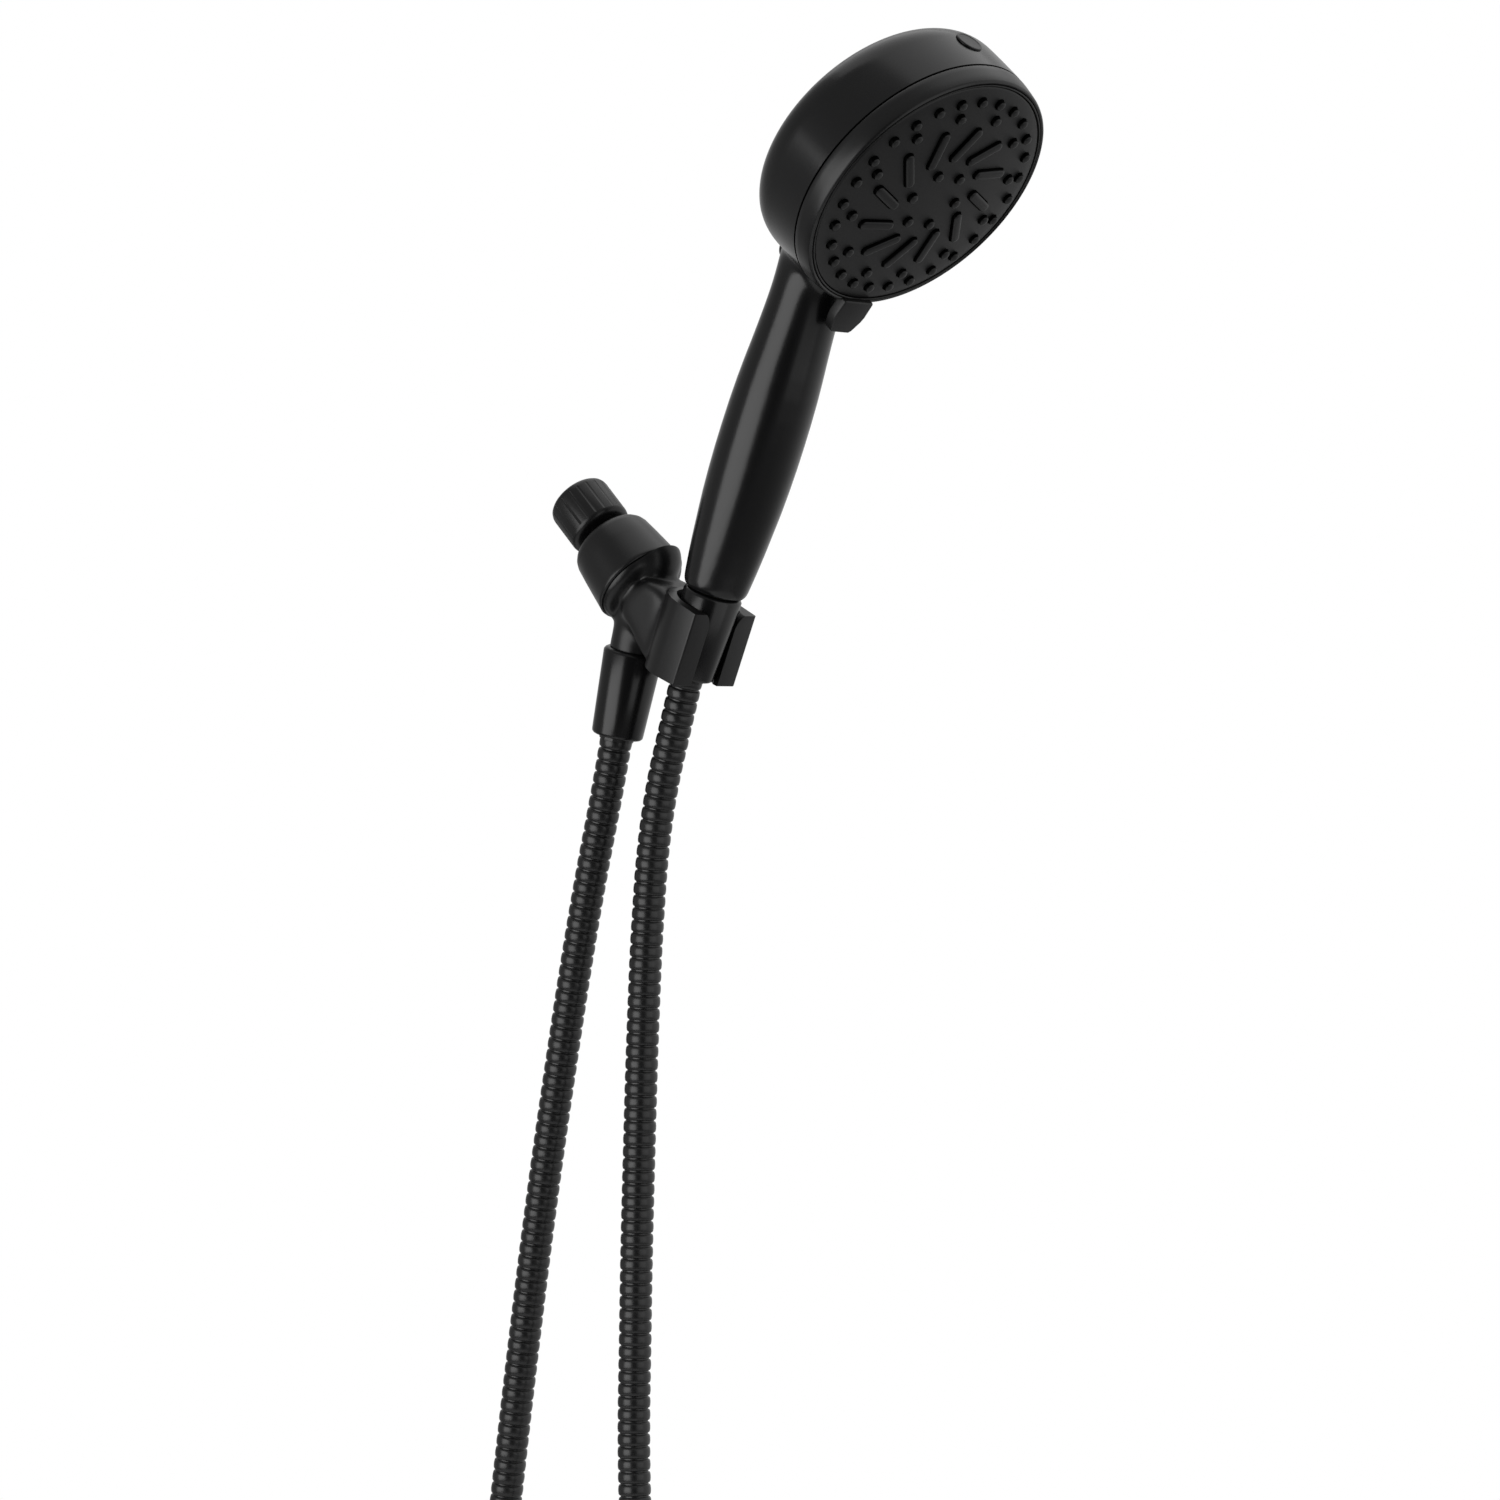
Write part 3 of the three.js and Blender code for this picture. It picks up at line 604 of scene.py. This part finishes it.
def neck_softened(body):
    """Smooths the whole skin lightly, and the corner where the handle meets the dome much more."""
    neck = HANDSET @ Vector((0, 0, 142 * MM))
    group = body.vertex_groups.new(name="neck")
    for vertex in body.data.vertices:
        near = 1 - min(1, max(0, ((vertex.co - neck).length - 22 * MM) / (24 * MM)))
        if near > 0:
            group.add([vertex.index], near, "REPLACE")
    apply_modifier(body, "SMOOTH", factor=0.5, iterations=110, vertex_group="neck")
    apply_modifier(body, "SMOOTH", factor=0.5, iterations=12)
    body.vertex_groups.clear()


def pause_button():
    piece = turned("pause_pad", [
        (0, 10.6), (3, 10.6), (3, 13.2), (6.1, 13.2), (6.1, 16.5), (5.9, 17.1), (5.2, 17.7), (3.8, 18.2),
        (2, 18.4), (0, 18.45),
    ], 64)
    return installed(smooth(place(piece, BUTTON), 50), "pause", FACE_BLACK, "black_soft", "pause_button")


def badge():
    piece = turned("round_badge", [
        (0, -0.2), (5.8, -0.2), (5.8, 0.25), (5.5, 0.55), (4.9, 0.6), (4.7, 0.45), (4.4, 0.4), (0, 0.4),
    ], 64)
    return installed(smooth(place(piece, BADGE), 40), "handset", FACE_BLACK, "black_soft", "shell_badge")


# ------------------------------------------------------------------ spray face
PLATE_RADIUS = 54.6
CROWN = 4.0
NUB_RINGS = [(6, 0.235, 30), (12, 0.715, 11), (27, 0.835, 6)]
SLOT_COUNT, SLOT_SHARE, SLOT_FIRST, SLOT_TURN = 12, 0.485, -4, 27


def crown_at(r):
    return CROWN * (1 - (r / PLATE_RADIUS) ** 2)


def on_face(share, degrees):
    r = share * 57
    a = math.radians(degrees)
    return r * math.sin(a), r * math.cos(a), r


def faceplate():
    outline = [(0, -2.1), (54.2, -2.1), (54.5, -1.6), (54.5, -0.7), (54.2, -0.25), (53.6, -0.05)]
    steps = 14
    outline += [(53.6 * (1 - i / steps), crown_at(53.6 * (1 - i / steps))) for i in range(1, steps + 1)]
    piece = turned("spray_faceplate", outline, 144)
    hole = turned("hole", [(0, -9), (2.5, -9), (2.5, 4), (0, 4)], 28)
    carved(piece, repeated(hole, "nub_holes", nub_places()))
    long_hole = stretched(turned("long_hole", [(0, -9), (2.55, -9), (2.55, 4), (0, 4)], 28), 6.8)
    carved(piece, repeated(long_hole, "ridge_holes", ridge_places()))
    return installed(smooth(place(piece, FACE), 40), "handset", FACE_BLACK, "black_soft", "faceplate")


def nub_places():
    places = []
    for count, share, first in NUB_RINGS:
        for i in range(count):
            x, y, r = on_face(share, first + 360 * i / count)
            places.append(Matrix.Translation((x * MM, y * MM, crown_at(r) * MM)))
    return places


def ridge_places():
    places = []
    for i in range(SLOT_COUNT):
        angle = SLOT_FIRST + 360 * i / SLOT_COUNT
        x, y, r = on_face(SLOT_SHARE, angle)
        lean = Matrix.Rotation(-math.atan(2 * CROWN * r / PLATE_RADIUS ** 2), 4, "X")
        round_face = Matrix.Rotation(-math.radians(angle), 4, "Z")
        swirl = Matrix.Rotation(-math.radians(SLOT_TURN), 4, "Z")
        spot = Matrix.Translation((x * MM, y * MM, crown_at(r) * MM))
        places.append(spot @ round_face @ lean @ swirl)
    return places


def stretched(piece, half):
    """Parts a round piece along Y and draws it out by half to each side, in millimetres."""
    for side in (-1, 1):
        alone(piece)
        bpy.ops.object.mode_set(mode="EDIT")
        bpy.ops.mesh.select_all(action="DESELECT")
        bpy.ops.object.mode_set(mode="OBJECT")
        for vertex in piece.data.vertices:
            vertex.select = side * vertex.co.y > 0.01 * MM
        bpy.ops.object.mode_set(mode="EDIT")
        bpy.ops.transform.translate(value=(0, side * half * MM, 0))
        bpy.ops.object.mode_set(mode="OBJECT")
    return piece


def nub():
    return turned("nub", [(2.15, -5), (2.15, 1.15), (2.0, 1.5), (1.6, 1.75), (0.8, 1.84), (0, 1.86)], 24)


def slot_ridge():
    """A raised spray ridge with round ends."""
    piece = turned("ridge", [(2.15, -5), (2.15, 0.9), (2.0, 1.25), (1.6, 1.5), (0.8, 1.58), (0, 1.6)], 28)
    return stretched(piece, 6.7)


def repeated(model, name, matrices):
    copies = []
    for matrix in matrices:
        copy = model.copy()
        copy.data = model.data.copy()
        copy.data.transform(matrix)
        bpy.context.scene.collection.objects.link(copy)
        copies.append(copy)
    bpy.data.objects.remove(model)
    bpy.ops.object.select_all(action="DESELECT")
    for copy in copies:
        copy.select_set(True)
    bpy.context.view_layer.objects.active = copies[0]
    bpy.ops.object.join()
    return named(name)


def nozzle_mat():
    base = turned("mat_base", [
        (0, -4.4), (53.2, -4.4), (53.4, -4.2), (53.4, -2.7), (53.2, -2.5), (0, -2.5)], 96)
    ridges = repeated(slot_ridge(), "nozzle_ridges", ridge_places())
    nubs = repeated(nub(), "nozzle_nubs", nub_places())
    installed(smooth(place(ridges, FACE), 45), "handset", NOZZLE_RUBBER, "rubber")
    installed(smooth(place(nubs, FACE), 45), "handset", NOZZLE_RUBBER, "rubber")
    installed(smooth(place(base, FACE), 45), "handset", NOZZLE_RUBBER, "rubber", "nozzle_mat")


def bezel():
    piece = turned("bezel_band", [
        (56.2, -9.7), (57.7, -9.7), (58.15, -9.4), (58.3, -8.8), (58.2, -7), (57.9, -4), (57.5, -1.2),
        (57.2, -0.3), (56.6, 0.1), (56.0, -0.1), (55.75, -0.6), (55.75, -9.3), (56.2, -9.7),
    ], 160)
    return installed(smooth(place(piece, FACE), 50), "handset", CAST_BLACK, "black", "face_bezel")


def selector():
    ring = turned("selector_lever", [
        (54.1, -8.4), (55.6, -8.4), (55.6, -0.5), (55.45, -0.1), (55.1, 0.05), (54.8, -0.1), (54.7, -2.6),
        (54.1, -3.4), (54.1, -8.4),
    ], 144)
    tab = side_tab()
    joined(ring, tab)
    return installed(smooth(place(ring, FACE), 35), "selector", FACE_BLACK, "black_soft", "selector_ring")


def side_tab():
    half = [(8.8, -54.9), (9.1, -62.5), (8.6, -65), (6.4, -70), (5.2, -71)]
    outline = [(-x, y) for x, y in half] + half[::-1]
    return edged(plate("tab", outline, -2.4, 2.6), 0.9, 4, 30)


# ------------------------------------------------------------------ studio
def camera_side(side, height=0.0):
    """A direction seen from the object: side degrees round from the camera, height degrees up."""
    turn, rise = math.radians(CAMERA_TURN + side), math.radians(height)
    return Vector((math.sin(turn) * math.cos(rise), -math.cos(turn) * math.cos(rise), math.sin(rise)))


def sky_patch(nodes, links, where, direction, start, end, low, high):
    """How bright the studio is round one direction: low at cosine start, high at cosine end."""
    facing = nodes.new("ShaderNodeVectorMath")
    facing.operation = "DOT_PRODUCT"
    facing.inputs[1].default_value = direction
    ramp = nodes.new("ShaderNodeMapRange")
    ramp.interpolation_type = "SMOOTHSTEP"
    for label, value in (("From Min", start), ("From Max", end), ("To Min", low), ("To Max", high)):
        ramp.inputs[label].default_value = value
    links.new(where.outputs["Generated"], facing.inputs[0])
    links.new(facing.outputs["Value"], ramp.inputs["Value"])
    return ramp.outputs["Result"]


def product(nodes, links, a, b):
    times = nodes.new("ShaderNodeMath")
    times.operation = "MULTIPLY"
    links.new(a, times.inputs[0])
    links.new(b, times.inputs[1])
    return times.outputs["Value"]


def studio():
    """A white studio to look at, whose walls as the object sees them are dim, and dark round the camera."""
    scene = bpy.context.scene
    scene.view_settings.view_transform = "Standard"
    world = bpy.data.worlds.new("studio")
    scene.world = world
    world.use_nodes = True
    nodes, links = world.node_tree.nodes, world.node_tree.links
    where = nodes.new("ShaderNodeTexCoord")
    walls = sky_patch(nodes, links, where, camera_side(135), -0.2, 0.9, 0.24, 0.62)
    dark = sky_patch(nodes, links, where, camera_side(-6), math.cos(math.radians(38)),
                     math.cos(math.radians(19)), 1.0, 0.02)
    ground = sky_patch(nodes, links, where, Vector((0, 0, -1)), 0.2, 0.6, 1.0, 0.4)
    strength = product(nodes, links, product(nodes, links, walls, dark), ground)
    path = nodes.new("ShaderNodeLightPath")
    seen = nodes.new("ShaderNodeMix")
    seen.data_type = "FLOAT"
    seen.inputs["B"].default_value = 1.0
    background = nodes["Background"]
    background.inputs["Color"].default_value = (1, 1, 1, 1)
    links.new(path.outputs["Is Camera Ray"], seen.inputs["Factor"])
    links.new(strength, seen.inputs["A"])
    links.new(seen.outputs["Result"], background.inputs["Strength"])


def softbox(name, side, height, away, size, brightness, aim=(0, -0.1, 0.0)):
    """A soft light away metres from the object, side degrees round from the camera and height degrees up."""
    data = bpy.data.lights.new(name, "AREA")
    data.shape = "RECTANGLE"
    data.size, data.size_y = size
    data.energy = brightness * math.pi * size[0] * size[1]
    piece = bpy.data.objects.new(name, data)
    bpy.context.scene.collection.objects.link(piece)
    piece.location = Vector(aim) + camera_side(side, height) * away
    piece.rotation_mode = "QUATERNION"
    piece.rotation_quaternion = (Vector(aim) - piece.location).to_track_quat("-Z", "Y")
    piece.visible_camera = False


def lights():
    softbox("left_softbox", -53, -8, 1.5, (1.35, 1.2), 2.1)
    softbox("right_softbox", 45, 0, 1.7, (1.6, 1.7), 0.5)
    softbox("top_softbox", 170, 75, 1.5, (1.9, 1.9), 0.6)


def floor():
    """A pale floor under the lowest point of the hose, out of the camera's view."""
    bpy.ops.object.select_all(action="DESELECT")
    bpy.ops.mesh.primitive_circle_add(vertices=96, radius=0.7, fill_type="NGON", location=(0, 0, 0))
    piece = named("studio_floor")
    piece.data.transform(Matrix.Translation((0, -0.05, CAD_BOX[0][2] - 0.03)))
    material = bpy.data.materials.new("pale_floor")
    material.use_nodes = True
    shader = material.node_tree.nodes["Principled BSDF"]
    shader.inputs["Base Color"].default_value = (0.82, 0.82, 0.82, 1)
    shader.inputs["Roughness"].default_value = 0.8
    coat(piece, material)


camera()
hose()
for material, nodes in CAD_FINISHES.items():
    for node in nodes:
        coat(bpy.data.objects[node], material)
inlet_nut()
collar_nut()
bracket_body()
hose_nuts()
shell()
pause_button()
badge()
faceplate()
nozzle_mat()
bezel()
selector()
studio()
lights()
floor()
